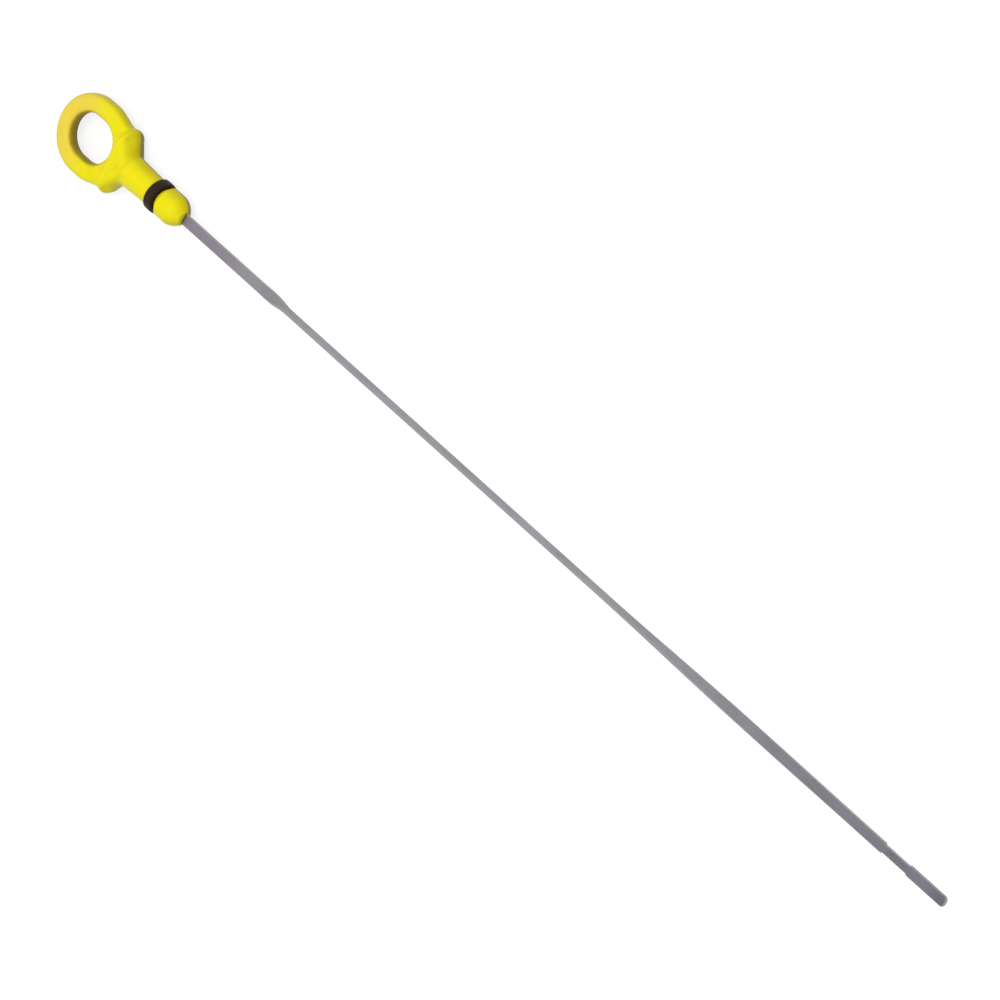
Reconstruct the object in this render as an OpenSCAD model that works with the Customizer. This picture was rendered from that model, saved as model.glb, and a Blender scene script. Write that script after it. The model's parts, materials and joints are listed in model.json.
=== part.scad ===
// Engine oil dipstick: a moulded pull handle with a finger ring and a stop collar, a rubber
// seal ring in the plug's groove, and a twisted steel gauge blade moulded into the plug.
// It lies on its collar and on the tip of its blade, as it rests on a bench.
// The origin is on the stick's axis, where the plug's guiding land starts.

/* [Finger ring] */
// Length of the finger hole, along the stick
hole_len = 20.5; // [17.5:0.5:26]
// Width of the finger hole
hole_w = 17.1; // [14:0.1:17.4]
// Width of the ring's section, seen from above
ring_w = 7.2; // [5.6:0.1:9]
// Thickness of the ring's section
ring_t = 6.5; // [5.6:0.1:9]
// Rounding of the ring's section
ring_round = 2.5; // [0.5:0.1:2.6]
// Plastic left between the finger hole and the stop collar
hole_gap = 3.2; // [0.5:0.1:5]

// Angle round the ring at which its web to the collar starts
web_angle = 58; // [50:1:75]
// Step from the collar's end in to the web
web_inset = 0.7; // [0.2:0.1:2]

/* [Stop collar] */
// Width of the collar, across the handle
collar_w = 27.4; // [22:0.1:34]
// Height of the collar
collar_h = 14; // [14:0.1:18]
// Length of the collar's rim, along the stick
collar_len = 3.1; // [3:0.1:8]
// Rounding of the collar's rim
collar_round = 1.4; // [0.5:0.1:1.4]
// Length of the sloped front, from the rim to the neck
slope_len = 4.2; // [2:0.1:8]

/* [Plug] */
// Diameter of the neck where it leaves the collar
neck_root_d = 12.6; // [11.4:0.1:13.4]
// Diameter of the neck where it backs the seal
neck_end_d = 11.2; // [10:0.1:12.4]
// Length of the neck, from the collar to the seal
neck_len = 14.8; // [8:0.1:20]
// Radius of the fillet at the foot of the neck
neck_fillet = 1.8; // [0.5:0.1:3]
// Diameter of the floor of the seal's groove
groove_d = 8.2; // [7.4:0.1:9]
// Diameter of the waist ahead of the seal
waist_d = 9.8; // [9.2:0.1:11]
// Length of the waist, from the seal to the cone that leads up to the land
waist_len = 1; // [1:0.1:6]
// Length of that cone
lead_len = 0.6; // [0.5:0.1:4]
// Diameter where that cone starts
lead_d = 10.8; // [9.8:0.1:11.6]
// Diameter of the guiding land, which runs in the dipstick tube
land_d = 12.4; // [11.6:0.1:13]
// Length of the guiding land
land_len = 4.6; // [3:0.1:10]
// Length over which the bullet nose would close to a point
nose_len = 7.8; // [5:0.1:12]
// Diameter of the nose's end face, where the blade comes out
nose_end_d = 5.2; // [5:0.1:7]

/* [Seal ring] */
// Outer diameter of the rubber seal ring
seal_d = 13.2; // [12.6:0.1:13.3]
// Width of the seal ring, along the stick
seal_w = 4.4; // [3:0.1:6]
// Rounding of the seal ring's section
seal_round = 1; // [0.2:0.1:1.2]
// Gap between the seal ring and each wall of its groove
seal_fit = 0.05; // [0.02:0.01:0.1]

/* [Gauge blade] */
// Width of the steel strip
blade_w = 4.4; // [3:0.1:4.6]
// Thickness of the steel strip
blade_t = 1.2; // [0.8:0.1:1.6]
// Rounding of the strip's long edges
blade_round = 0.35; // [0.1:0.05:0.38]
// Length of the blade outside the plug
blade_len = 430; // [400:1:600]
// Length of the tang inside the plug
tang_len = 27; // [18:0.5:34]
// Gap between the tang and the plastic moulded round it
tang_fit = 0.04; // [0.02:0.01:0.1]
// Diameter of the hole through the tang, which the plastic fills
tang_hole_d = 2.2; // [1:0.1:2.4]
// Place of that hole, from the tang's end
tang_hole_in = 5; // [3:0.5:8]
// Radius of the tip's corners
tip_round = 1.5; // [0.5:0.1:1.5]

/* [Twist] */
// Angle by which the strip is turned out of the flat and back, clockwise seen from the handle
turn = -90; // [-90:1:90]
// Length of the flat stretch between the nose and the first turn
flat_len = 44; // [10:1:60]
// Length of the first turn, on to the strip's edge
first_turn_len = 16; // [10:1:40]
// Length of the slow turn back to the flat
second_turn_len = 140; // [130:1:200]
// Length of the flat stretch that ends at the tip and holds the level marks
tip_flat_len = 50; // [46:1:70]

/* [Level marks] */
// Distance from the tip to the shoulder that marks the low level
low_mark_in = 20; // [12:0.5:24]
// Distance between the shoulders that mark the low and the high level
mark_span = 14; // [10:0.5:22]
// Depth of the waist between the shoulders, on each side of the strip
waist_depth = 0.5; // [0.2:0.05:0.9]
// Depth of the cross-hatched grooves on the waist
hatch_depth = 0.18; // [0.05:0.01:0.3]
// Distance between two grooves, along the blade
hatch_pitch = 1.8; // [1.5:0.1:3]
// Blank stretch between a shoulder and the first groove
hatch_margin = 2.5; // [1.5:0.1:3.5]

/* [Hidden] */
$fn = 96;

// Places along the stick, from the start of the guiding land
lead_x = -lead_len;
seal_front_x = lead_x - waist_len;
seal_back_x = seal_front_x - seal_w - 2 * seal_fit;
neck_root_x = seal_back_x - neck_len;
collar_front_x = neck_root_x - slope_len;
collar_back_x = collar_front_x - collar_len;
collar_mid_x = (collar_front_x + collar_back_x) / 2;
nose_x = land_len;

// The loop of the finger ring: two half circles joined by two straight sides
loop_r = (hole_w + ring_w) / 2;
loop_run = hole_len - hole_w;
loop_mid_x = collar_back_x - hole_gap - hole_len / 2;

// The collar: two round ends this far apart, and the inset where its slope leaves the rounding
collar_spread = collar_w - collar_h;
slope_inset = collar_round * (1 - cos(45));
// The foot of the neck stands out from the neck by this much, and the slope ends just outside it
foot_out = 0.4;
foot_step = 0.05;
foot_r = neck_root_d / 2 + foot_out;
// A slice that is thin enough to count as a flat outline
slice = 0.02;

// The bullet nose follows r = R (1 - u^a)^b, with u from 0 at the land to 1 at its point.
// It is cut off where it has come down to the end face.
nose_a = 1.8;
nose_b = 0.8;
nose_steps = 14;
nose_cut = pow(1 - pow(nose_end_d / land_d, 1 / nose_b), 1 / nose_a);
nose_end_x = nose_x + nose_cut * nose_len;
function nose_r(u) = land_d / 2 * pow(1 - pow(u, nose_a), nose_b);

// The blade's stations along the stick
tip_x = nose_end_x + blade_len;
tang_x = nose_end_x - tang_len;
turn_1_x = nose_end_x + flat_len;
turn_2_x = tip_x - tip_flat_len - second_turn_len;
low_mark_x = tip_x - low_mark_in;
high_mark_x = low_mark_x - mark_span;
tang_hole_x = tang_x + tang_hole_in;
turn_1_steps = 16;
turn_2_steps = 30;

// The strip's turn about its own length: an eased rise, a hold, and an eased return
function ease(u) = let (v = max(0, min(1, u))) v * v * (3 - 2 * v);
function turn_at(x) =
    turn * (ease((x - turn_1_x) / first_turn_len) - ease((x - turn_2_x) / second_turn_len));
stations = concat(
    [tang_x],
    [for (i = [0:turn_1_steps]) turn_1_x + first_turn_len * i / turn_1_steps],
    [for (i = [0:turn_2_steps]) turn_2_x + second_turn_len * i / turn_2_steps],
    [tip_x]
);

// The strip's section: a rectangle whose corners are short arcs, counter-clockwise
corner_points = 3;
function strip_section(w, t, r) = [
    for (q = [0:3], k = [0:corner_points - 1])
        let (
            a = 90 * q + 90 * k / (corner_points - 1),
            sy = (q == 0 || q == 3) ? 1 : -1,
            sz = (q < 2) ? 1 : -1
        )
        [sy * (w / 2 - r) + r * cos(a), sz * (t / 2 - r) + r * sin(a)]
];

// It lies on the collar's rim and on the tip of the blade, so the stick slopes by this angle
rest_tilt = atan((collar_h - blade_t) / 2 / (tip_x - collar_front_x + collar_round));

module rounded_rect(w, h, r) {
    square([w - 2 * r, h], center = true);
    square([w, h - 2 * r], center = true);
    for (x = [-1, 1], y = [-1, 1])
        translate([x * (w / 2 - r), y * (h / 2 - r)])
            circle(r);
}

// Turns a shape that stands on the z axis so that it lies along the stick
module along_stick(x) {
    translate([x, 0, 0])
        rotate([0, 90, 0])
            children();
}

module lay_down() {
    rotate([0, rest_tilt, 0])
        children();
}

module ring_section() {
    rounded_rect(ring_w, ring_t, ring_round);
}

module finger_loop() {
    translate([loop_mid_x, 0, 0])
        for (side = [-1, 1]) {
            translate([side * loop_run / 2, 0, 0])
                rotate([0, 0, -90 * side])
                    rotate_extrude(angle = 180)
                        translate([loop_r, 0])
                            ring_section();
            translate([0, side * loop_r, 0])
                rotate([90, 0, 90])
                    linear_extrude(loop_run, center = true)
                        ring_section();
        }
}

// The webs that fill the corners between the ring and the collar: straight runs of the ring's
// own section, from the middle of the ring's section to the middle of the collar's rim
module ring_webs() {
    from = [loop_mid_x + loop_run / 2 + loop_r * cos(web_angle), loop_r * sin(web_angle)];
    to = [collar_mid_x, collar_w / 2 - web_inset - ring_w / 2];
    for (side = [0, 1])
        mirror([0, side, 0])
            translate([from[0], from[1], 0])
                rotate([90, 0, 90 + atan2(to[1] - from[1], to[0] - from[0])])
                    linear_extrude(norm(to - from))
                        ring_section();
}

// Half of the rim's section, from the axis of one of its round ends outwards
module rim_section() {
    intersection() {
        rounded_rect(collar_h, collar_len, collar_round);
        translate([0, -collar_len])
            square([collar_h, 2 * collar_len]);
    }
}

module collar_rim() {
    for (side = [-1, 1])
        translate([collar_mid_x, side * collar_spread / 2, 0])
            rotate([0, 90, 0])
                rotate([0, 0, 90 - 90 * side])
                    rotate_extrude(angle = 180)
                        rim_section();
    translate([collar_mid_x, 0, 0])
        rotate([90, 0, 0])
            linear_extrude(collar_spread, center = true)
                rounded_rect(collar_len, collar_h, collar_round);
}

module collar_slope() {
    hull() {
        for (side = [-1, 1])
            translate([0, side * collar_spread / 2, 0])
                along_stick(collar_front_x - slope_inset)
                    cylinder(r = collar_h / 2 - slope_inset, h = slice, $fn = 64);
        along_stick(neck_root_x - slice)
            cylinder(r = foot_r + foot_step, h = slice, $fn = 64);
    }
}

// The round part of the handle, turned from one profile: radius first, then the place along it
module plug() {
    foot = [
        for (a = [0:15:90])
            [foot_r - foot_out * sin(a), neck_root_x + neck_fillet * (1 - cos(a))]
    ];
    nose = [
        for (i = [0:nose_steps])
            let (u = nose_cut * i / nose_steps)
            [nose_r(u), nose_x + u * nose_len]
    ];
    along_stick(0)
        rotate_extrude()
            polygon(concat(
                [[0, collar_mid_x], [neck_root_d / 2, collar_mid_x]],
                foot,
                [
                    [neck_end_d / 2, seal_back_x],
                    [groove_d / 2, seal_back_x],
                    [groove_d / 2, seal_front_x],
                    [waist_d / 2, seal_front_x],
                    [waist_d / 2, lead_x],
                    [lead_d / 2, lead_x],
                    [land_d / 2, 0]
                ],
                nose,
                [[0, nose_end_x]]
            ));
}

// The slot that the tang is moulded into, open at the nose
module tang_slot() {
    translate([tang_x - tang_fit, -blade_w / 2 - tang_fit, -blade_t / 2 - tang_fit])
        cube([tang_len + 2 * tang_fit + 1, blade_w + 2 * tang_fit, blade_t + 2 * tang_fit]);
}

module pull_handle() {
    color("gold")
        lay_down() {
            difference() {
                union() {
                    finger_loop();
                    ring_webs();
                    collar_rim();
                    collar_slope();
                    plug();
                }
                tang_slot();
            }
            // The plastic that fills the hole in the tang
            translate([tang_hole_x, 0, 0])
                cylinder(d = tang_hole_d - 2 * tang_fit, h = neck_end_d / 2, center = true);
        }
}

module seal_ring() {
    inner_r = groove_d / 2 + seal_fit;
    wall = seal_d / 2 - inner_r;
    color("#231f20")
        lay_down()
            along_stick((seal_back_x + seal_front_x) / 2)
                rotate_extrude()
                    translate([inner_r + wall / 2, 0])
                        rounded_rect(wall, seal_w, seal_round);
}

// The strip from tang to tip: its section carried along the stations and turned at each
module twisted_strip() {
    section = strip_section(blade_w, blade_t, blade_round);
    n = len(section);
    last = len(stations) - 1;
    points = [
        for (x = stations, p = section)
            let (a = turn_at(x))
            [x, p[0] * cos(a) - p[1] * sin(a), p[0] * sin(a) + p[1] * cos(a)]
    ];
    sides = [
        for (i = [0:last - 1], j = [0:n - 1], half = [0, 1])
            let (a = i * n + j, b = i * n + (j + 1) % n, c = a + n, d = b + n)
            half == 0 ? [a, d, b] : [a, c, d]
    ];
    back_cap = [for (j = [0:n - 1]) j];
    tip_cap = [for (j = [n - 1:-1:0]) last * n + j];
    polyhedron(points, concat(sides, [back_cap, tip_cap]), convexity = 6);
}

// What the level marks take off one side of the strip: a waist that starts and ends in a
// shoulder at 45 degrees
module level_waist() {
    waist_y = blade_w / 2 - waist_depth;
    linear_extrude(2 * blade_t, center = true)
        polygon([
            [high_mark_x, blade_w / 2],
            [high_mark_x + waist_depth, waist_y],
            [low_mark_x - waist_depth, waist_y],
            [low_mark_x, blade_w / 2],
            [low_mark_x, blade_w],
            [high_mark_x, blade_w]
        ]);
}

// What rounding the tip's two corners takes off
module tip_corner() {
    difference() {
        translate([tip_x - tip_round, blade_w / 2 - tip_round, -blade_t])
            cube([tip_round + 1, tip_round + 1, 2 * blade_t]);
        translate([tip_x - tip_round, blade_w / 2 - tip_round, -2 * blade_t])
            cylinder(r = tip_round, h = 4 * blade_t);
    }
}

// V-shaped grooves across one face, leaning one way
module hatch(face, lean) {
    first = high_mark_x + hatch_margin;
    run = mark_span - 2 * hatch_margin;
    for (i = [0:floor(run / hatch_pitch)])
        translate([first + i * hatch_pitch, 0, face * blade_t / 2])
            rotate([0, 0, lean])
                rotate([45, 0, 0])
                    cube([2 * blade_w, hatch_depth * sqrt(2), hatch_depth * sqrt(2)], center = true);
}

module gauge_blade() {
    color("#918f96")
        lay_down()
            difference() {
                twisted_strip();
                for (side = [0, 1])
                    mirror([0, side, 0]) {
                        level_waist();
                        tip_corner();
                    }
                translate([tang_hole_x, 0, 0])
                    cylinder(d = tang_hole_d, h = 3 * blade_t, center = true);
                for (face = [-1, 1], lean = [-45, 45])
                    hatch(face, lean);
            }
}

pull_handle();
seal_ring();
gauge_blade();
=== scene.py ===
"""Looks of an engine oil dipstick: a yellow pull handle, its rubber seal ring and a twisted steel blade.

Sizes are in millimetres in the stick's own frame (x along the stick, y across the handle, z up through its
thickness) until a mesh is laid down, which turns it by the stick's slope and brings it to metres.
"""

import json
import logging
import math
from collections.abc import Callable, Sequence
from dataclasses import dataclass
from enum import Enum

import bpy
import numpy as np
from mathutils import Matrix, Vector

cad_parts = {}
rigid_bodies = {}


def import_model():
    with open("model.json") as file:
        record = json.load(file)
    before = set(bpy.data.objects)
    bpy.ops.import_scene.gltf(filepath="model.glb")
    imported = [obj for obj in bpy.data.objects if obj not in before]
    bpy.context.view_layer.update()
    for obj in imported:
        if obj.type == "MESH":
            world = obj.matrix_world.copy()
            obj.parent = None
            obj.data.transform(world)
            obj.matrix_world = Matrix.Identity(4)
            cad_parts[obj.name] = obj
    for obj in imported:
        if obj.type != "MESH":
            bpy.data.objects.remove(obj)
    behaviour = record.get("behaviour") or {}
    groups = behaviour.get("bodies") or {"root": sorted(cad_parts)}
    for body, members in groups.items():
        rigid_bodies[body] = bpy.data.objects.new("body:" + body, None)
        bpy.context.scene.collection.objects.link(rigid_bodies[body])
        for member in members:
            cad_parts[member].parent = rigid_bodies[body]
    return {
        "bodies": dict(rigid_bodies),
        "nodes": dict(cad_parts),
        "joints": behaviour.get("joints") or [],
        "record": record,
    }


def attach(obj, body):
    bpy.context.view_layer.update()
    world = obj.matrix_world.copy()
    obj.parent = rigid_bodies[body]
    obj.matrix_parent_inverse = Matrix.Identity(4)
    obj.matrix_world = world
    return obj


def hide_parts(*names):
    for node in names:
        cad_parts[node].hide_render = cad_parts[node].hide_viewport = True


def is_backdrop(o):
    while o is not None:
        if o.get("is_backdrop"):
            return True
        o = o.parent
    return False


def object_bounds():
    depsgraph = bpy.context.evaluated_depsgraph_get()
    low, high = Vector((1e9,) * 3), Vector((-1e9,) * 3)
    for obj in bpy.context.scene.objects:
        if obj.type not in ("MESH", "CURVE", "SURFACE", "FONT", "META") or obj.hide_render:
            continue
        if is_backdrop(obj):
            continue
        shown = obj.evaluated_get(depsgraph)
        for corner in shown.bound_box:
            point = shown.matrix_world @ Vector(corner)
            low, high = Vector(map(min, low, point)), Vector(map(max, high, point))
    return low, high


LOG = logging.getLogger("dipstick")
MM = 0.001
BODY = "root"
TINY = 1e-9

Field = Callable[[np.ndarray], np.ndarray]
Colour = tuple[float, float, float, float]
Span = tuple[float, float]
Triple = tuple[float, float, float]


class Node(Enum):
    """The CAD nodes that the pieces stand for."""

    HANDLE = "pull_handle"
    SEAL = "seal_ring"
    BLADE = "gauge_blade"


class Slot(Enum):
    """The record's material slots."""

    PLASTIC = "yellow_plastic"
    RUBBER = "black_rubber"
    STEEL = "spring_steel"


class Mark(Enum):
    """What a mesh carries at its vertices for its finish to read."""

    STICK = "stick"
    EDGE = "edge"
    CREASE = "crease"


class GroupName(Enum):
    """The shader groups that more than one finish uses."""

    GRAIN = "fine grain"
    WEAR = "worn edges"
    FILM = "settled film"
    SCRATCHES = "fine scratches"


def srgb(red: int, green: int, blue: int) -> Colour:
    """Turns a colour of three 0 to 255 screen levels into linear light, by the sRGB curve.

    Args:
        red: Red level.
        green: Green level.
        blue: Blue level.

    Returns:
        Linear red, green, blue and an alpha of 1.
    """
    levels = [c / 255 for c in (red, green, blue)]
    linear = [c / 12.92 if c <= 0.04045 else ((c + 0.055) / 1.055) ** 2.4 for c in levels]
    return (*linear, 1.0)


def smooth_min(a: np.ndarray, b: np.ndarray, blend: float) -> np.ndarray:
    """Joins two distance fields and fills the corner between them with a fillet.

    The lesser of the two, less a quarter of the blend times the square of how close they are to each other.

    Args:
        a: First field.
        b: Second field.
        blend: Width over which the two run into each other.

    Returns:
        The joined field.
    """
    near = np.maximum(blend - np.abs(a - b), 0) / blend
    return np.minimum(a, b) - near**2 * blend / 4


def smooth_max(a: np.ndarray, b: np.ndarray, blend: float) -> np.ndarray:
    """Keeps what two distance fields share and rounds the edge where they meet.

    Args:
        a: First field.
        b: Second field.
        blend: Width over which the edge is rounded.

    Returns:
        The field of the common part.
    """
    return -smooth_min(-a, -b, blend)


def rounded_box(u: np.ndarray, v: np.ndarray, half_u: float, half_v: float, r: float) -> np.ndarray:
    """Distance in a plane to a rectangle with round corners.

    Args:
        u: First coordinate from the rectangle's middle.
        v: Second coordinate from the rectangle's middle.
        half_u: Half of its width.
        half_v: Half of its height.
        r: Radius of its corners.

    Returns:
        Distance, less than zero inside.
    """
    du = np.abs(u) - half_u + r
    dv = np.abs(v) - half_v + r
    outside = np.hypot(np.maximum(du, 0), np.maximum(dv, 0))
    return outside + np.minimum(np.maximum(du, dv), 0) - r


def ease(u: np.ndarray) -> np.ndarray:
    """Rises smoothly from 0 to 1 as u does."""
    v = np.clip(u, 0, 1)
    return v * v * (3 - 2 * v)


@dataclass(frozen=True)
class Stick:
    """The stick's own frame, taken from the plug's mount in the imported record."""

    slope: float

    @classmethod
    def from_frame(cls, frame: dict) -> "Stick":
        """Reads the slope of the stick.


        Returns:
            The stick's frame.
        """
        axis = frame["record"]["mounts"][0]["axis"]
        return cls(slope=math.atan2(-axis[2], axis[0]))

    def lay_down(self, points: np.ndarray) -> np.ndarray:
        """Turns points of the stick's frame, in millimetres, into the row frame, in metres.

        Args:
            points: Rows of x, y and z.

        Returns:
            The same rows, laid down.
        """
        x, y, z = points.T
        c, s = math.cos(self.slope), math.sin(self.slope)
        return np.stack([c * x + s * z, y, c * z - s * x], axis=1) * MM

    def stand_up(self, points: np.ndarray) -> np.ndarray:
        """Turns laid points, in metres, back into the stick's frame, in millimetres.

        Args:
            points: Rows of x, y and z in the row frame.

        Returns:
            The same rows in the stick's frame.
        """
        x, y, z = points.T / MM
        c, s = math.cos(self.slope), math.sin(self.slope)
        return np.stack([c * x - s * z, y, c * z + s * x], axis=1)

    def extent(self, frame: dict, node: Node) -> tuple[np.ndarray, np.ndarray]:
        """Finds how far a CAD node reaches in the stick's frame.

        Args:
            node: The CAD node.

        Returns:
            Its lowest and its highest corner, in millimetres.
        """
        points = self.stand_up(vertex_places(frame["nodes"][node.value].data))
        return points.min(axis=0), points.max(axis=0)


def vertex_places(mesh: bpy.types.Mesh) -> np.ndarray:
    """Reads a mesh's vertices.

    Args:
        mesh: The mesh.

    Returns:
        Rows of x, y and z.
    """
    flat = np.zeros(len(mesh.vertices) * 3, np.float32)
    mesh.vertices.foreach_get("co", flat)
    return flat.reshape(-1, 3).astype(float)


def make_piece(
    name: str, points: np.ndarray, faces: np.ndarray, caps: Sequence[np.ndarray] = ()
) -> bpy.types.Object:
    """Makes a smooth-shaded mesh object from whole arrays.

    Args:
        name: Name of the object and its mesh.
        points: Rows of x, y and z, in metres.
        faces: Rows of four vertex numbers.
        caps: Rings of vertex numbers, each of which is closed with one face.

    Returns:
        The object, linked to the scene.
    """
    mesh = bpy.data.meshes.new(name)
    mesh.from_pydata(points, [], [*faces.tolist(), *(cap.tolist() for cap in caps)])
    mesh.shade_smooth()
    piece = bpy.data.objects.new(name, mesh)
    bpy.context.scene.collection.objects.link(piece)
    return piece


def set_mark(mesh: bpy.types.Mesh, mark: Mark, values: np.ndarray) -> None:
    """Writes a number or a vector at every vertex.

    Args:
        mesh: The mesh.
        mark: What the values are.
        values: One number, or a row of three, for each vertex.
    """
    kind, key = ("FLOAT_VECTOR", "vector") if values.ndim == 2 else ("FLOAT", "value")
    layer = mesh.attributes.new(mark.value, kind, "POINT")
    layer.data.foreach_set(key, values.astype(np.float32).ravel())


def ring_faces(rings: int, around: int) -> np.ndarray:
    """Numbers the four-cornered faces between rings of points that follow each other.

    Args:
        rings: How many rings there are.
        around: How many points each ring has.

    Returns:
        Rows of four vertex numbers.
    """
    i = np.arange(rings - 1)[:, None] * around
    j = np.arange(around)[None, :]
    k = (j + 1) % around
    return np.stack([i + j, i + k, i + around + k, i + around + j], axis=-1).reshape(-1, 4)


def rounded_outline(
    half_u: float, half_v: float, r: float, steps_u: int, steps_v: int, steps_arc: int
) -> tuple[np.ndarray, np.ndarray]:
    """Closed outline of a rectangle with round corners: a quarter circle and a straight side, four times.

    Args:
        half_u: Half of its width.
        half_v: Half of its height.
        r: Radius of its corners.
        steps_u: How many steps each side along u has.
        steps_v: How many steps each side along v has.
        steps_arc: How many steps each corner has.

    Returns:
        The u and the v of its points, counter-clockwise.
    """
    u, v = [], []
    for corner, (sign_u, sign_v) in enumerate([(1, 1), (-1, 1), (-1, -1), (1, -1)]):
        angle = math.pi / 2 * (corner + np.linspace(0, 1, steps_arc + 1))
        u.append(sign_u * (half_u - r) + r * np.cos(angle))
        v.append(sign_v * (half_v - r) + r * np.sin(angle))
        along_u = corner % 2 == 0
        steps = steps_u if along_u else steps_v
        share = np.linspace(0, 1, steps + 1)[1:-1]
        length = 2 * ((half_u if along_u else half_v) - r)
        heading = angle[-1] + math.pi / 2
        u.append(u[-1][-1] + share * length * round(math.cos(heading)))
        v.append(v[-1][-1] + share * length * round(math.sin(heading)))
    return np.concatenate(u), np.concatenate(v)


@dataclass(frozen=True)
class SkinMaker:
    """Covers a distance field with one closed skin of near-square faces."""

    pitch: float = 0.29
    settle_steps: int = 5
    relax_steps: int = 3
    least_slope: float = 0.05

    def skin(self, field: Field, low: np.ndarray, high: np.ndarray) -> tuple[np.ndarray, np.ndarray]:
        """Finds the surface on which a field is zero.

        The field is sampled at the corners of small cells. Each cell that the surface crosses gets one
        vertex, at the mean of the crossings on its edges, and each crossed edge gets one face between the
        four cells round it. The vertices then slide along the field's gradient until it is zero there.

        Args:
            field: Distance to the shape, for rows of x, y and z.
            low: Lowest corner of the space to search.
            high: Highest corner of that space.

        Returns:
            Vertices, and faces as rows of four vertex numbers that turn outwards.
        """
        counts = np.ceil((high - low) / self.pitch).astype(int) + 2
        axes = [low[k] - self.pitch / 2 + self.pitch * np.arange(counts[k]) for k in range(3)]
        corners = np.stack(np.meshgrid(*axes, indexing="ij"), axis=-1)
        level = field(corners.reshape(-1, 3)).reshape(corners.shape[:3])
        points, number = self._cell_points(level, axes)
        faces = np.concatenate([self._faces_across(level, number, axis) for axis in range(3)])
        for _ in range(self.relax_steps):
            points = self._relaxed(points, faces, field)
            points = self._settled(points, field)
        return points, faces

    def _cell_points(self, level: np.ndarray, axes: Sequence[np.ndarray]) -> tuple[np.ndarray, np.ndarray]:
        """Gives each crossed cell its vertex.

        Args:
            level: The field at every corner.
            axes: Places of the corners along x, y and z.

        Returns:
            The vertices, and a grid that holds each cell's vertex number or -1.
        """
        inside = level < 0
        cells = tuple(n - 1 for n in level.shape)
        offsets = np.array([[a, b, c] for a in (0, 1) for b in (0, 1) for c in (0, 1)])
        filled = sum(
            inside[a:a + cells[0], b:b + cells[1], c:c + cells[2]].astype(int) for a, b, c in offsets
        )
        cell = np.argwhere((filled > 0) & (filled < len(offsets)))
        total = np.zeros((len(cell), 3))
        crossings = np.zeros((len(cell), 1))
        edges = [(p, q) for p in offsets for q in offsets if (q - p).sum() == 1 and (q - p).min() == 0]
        for start, end in edges:
            at_start = level[tuple((cell + start).T)]
            at_end = level[tuple((cell + end).T)]
            crossed = (at_start < 0) != (at_end < 0)
            share = at_start / np.where(crossed, at_start - at_end, 1)
            total += np.where(crossed[:, None], start + share[:, None] * (end - start), 0)
            crossings += crossed[:, None]
        origin = np.array([axis[0] for axis in axes])
        points = origin + self.pitch * (cell + total / crossings)
        number = np.full(cells, -1)
        number[tuple(cell.T)] = np.arange(len(cell))
        return points, number

    def _faces_across(self, level: np.ndarray, number: np.ndarray, axis: int) -> np.ndarray:
        """Makes the faces that cross the grid edges of one direction.

        Args:
            level: The field at every corner.
            number: Each cell's vertex number.
            axis: The direction, 0 to 2.

        Returns:
            Rows of four vertex numbers.
        """
        turned = np.moveaxis(level, axis, 0) < 0
        cells = np.moveaxis(number, axis, 0)
        start, end = turned[:-1, 1:-1, 1:-1], turned[1:, 1:-1, 1:-1]
        i, j, k = np.argwhere(start != end).T
        round_edge = [cells[i, j, k], cells[i, j + 1, k], cells[i, j + 1, k + 1], cells[i, j, k + 1]]
        ring = np.stack(round_edge, axis=1)
        outwards = start[i, j, k] ^ (axis == 1)
        return np.where(outwards[:, None], ring, ring[:, ::-1])

    def _settled(self, points: np.ndarray, field: Field) -> np.ndarray:
        """Slides points along the gradient until the field is zero, by at most half a cell a step.

        The step is the field over the gradient's squared length, which counts as least_slope where it is
        less.

        Args:
            points: Rows of x, y and z.
            field: Distance to the shape.

        Returns:
            The moved points.
        """
        for _ in range(self.settle_steps):
            level = field(points)
            slope = gradient(field, points)
            step = (level / np.maximum((slope**2).sum(axis=1), self.least_slope))[:, None] * slope
            length = np.linalg.norm(step, axis=1, keepdims=True)
            points = points - step * np.minimum(1, self.pitch / 2 / np.maximum(length, TINY))
        return points

    def _relaxed(self, points: np.ndarray, faces: np.ndarray, field: Field) -> np.ndarray:
        """Moves each vertex half of the way to the mean of its neighbours, along the surface only.

        Args:
            points: Rows of x, y and z.
            faces: Rows of four vertex numbers.
            field: Distance to the shape, whose gradient is the surface's normal.

        Returns:
            The moved points.
        """
        total = np.zeros_like(points)
        count = np.zeros(len(points))
        for k in range(4):
            for other in (faces[:, (k + 1) % 4], faces[:, (k + 3) % 4]):
                np.add.at(total, faces[:, k], points[other])
                np.add.at(count, faces[:, k], 1)
        move = (total / count[:, None] - points) / 2
        normal = gradient(field, points)
        normal /= np.maximum(np.linalg.norm(normal, axis=1, keepdims=True), TINY)
        return points + move - (move * normal).sum(axis=1, keepdims=True) * normal


def gradient(field: Field, points: np.ndarray, reach: float = 0.02) -> np.ndarray:
    """Measures how a field changes along x, y and z.

    Args:
        field: The field.
        points: Rows of x, y and z.
        reach: Distance to the samples on both sides.

    Returns:
        Rows of three slopes.
    """
    steps = np.eye(3) * reach
    return np.stack([(field(points + s) - field(points - s)) / (2 * reach) for s in steps], axis=1)


def bend(field: Field, points: np.ndarray, reach: float = 0.55) -> np.ndarray:
    """Measures how a surface bends: more than zero on an edge, less in a crease.

    The sum of the field's six neighbours less six times the field itself, over the square of the reach.

    Args:
        field: Distance to the shape.
        points: Rows of x, y and z on its surface.
        reach: Distance to the neighbours.

    Returns:
        One number a point, in 1/mm.
    """
    steps = np.eye(3) * reach
    around = sum(field(points + s) + field(points - s) for s in steps)
    return (around - 6 * field(points)) / reach**2


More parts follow.
